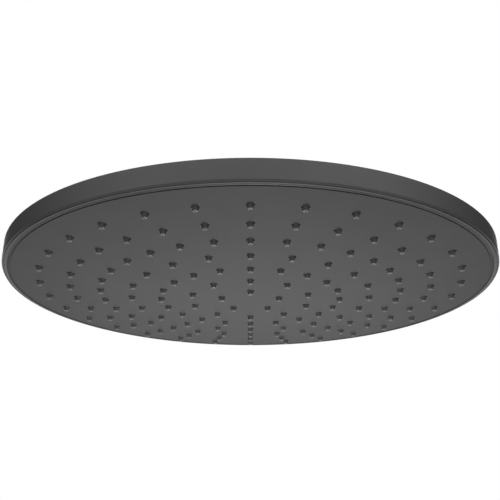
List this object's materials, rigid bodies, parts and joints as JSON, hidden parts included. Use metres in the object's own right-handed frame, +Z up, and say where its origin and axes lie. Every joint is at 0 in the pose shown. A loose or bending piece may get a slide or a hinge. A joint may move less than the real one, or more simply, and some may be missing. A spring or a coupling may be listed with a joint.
{
  "type": "rain shower head",
  "caption": "Slim round rain shower head with a shallow domed spray face, rings of silicone nozzles, a trim ring round the rim and a threaded ball swivel on top.",
  "frame": {"origin": "centre of the inlet thread's mouth, on the head's axis", "axes": "+Z up, out of the inlet thread; the spray face looks down along -Z; -Y towards the viewer of the picture"},
  "size_m": [0.31, 0.31, 0.0906],
  "materials": {
    "cover_finish": "satin graphite coating on pressed metal",
    "bezel_finish": "satin graphite coating on a turned ring",
    "face_finish": "satin graphite coating on a domed sheet",
    "fitting_finish": "satin graphite coating on turned brass",
    "nozzle_silicone": "dark grey silicone, slightly glossy",
    "seal_rubber": "black rubber",
    "slip_plastic": "white slippery plastic",
    "limiter_plastic": "green moulded plastic",
    "chamber_plastic": "black moulded plastic",
    "lock_nut_brass": "plain turned brass",
    "stainless_steel": "plain stainless steel"
  },
  "bodies": {
    "connector": {"ball_connector": "fitting_finish", "inlet_strainer": "stainless_steel", "inlet_washer": "seal_rubber", "flow_limiter": "limiter_plastic", "flow_limiter_ring": "seal_rubber"},
    "slip_ring": {"ball_slip_ring": "slip_plastic"},
    "seal_stack": {"ball_seal": "seal_rubber", "seal_thrust_ring": "slip_plastic", "seal_spring": "stainless_steel"},
    "head": {"swivel_nut": "fitting_finish", "neck": "fitting_finish", "neck_gasket": "seal_rubber", "top_cover": "cover_finish", "bezel_ring": "bezel_finish", "spray_face": "face_finish", "nozzle_mat": "nozzle_silicone", "chamber_plate": "chamber_plastic", "neck_seal_ring": "seal_rubber", "lock_washer": "stainless_steel", "lock_nut": "lock_nut_brass", "face_studs": "stainless_steel", "stud_nuts": "stainless_steel"}
  },
  "joints": [
    {"name": "tilt_fore_aft", "type": "hinge", "parent": "connector", "child": "slip_ring", "pos_m": [0, 0, -0.037], "axis": [1, 0, 0], "range_deg": [-15, 15]},
    {"name": "tilt_sideways", "type": "hinge", "parent": "slip_ring", "child": "seal_stack", "pos_m": [0, 0, -0.037], "axis": [0, 1, 0], "range_deg": [-15, 15]},
    {"name": "head_spin", "type": "hinge", "parent": "seal_stack", "child": "head", "pos_m": [0, 0, -0.037], "axis": [0, 0, 1], "continuous": true}
  ]
}
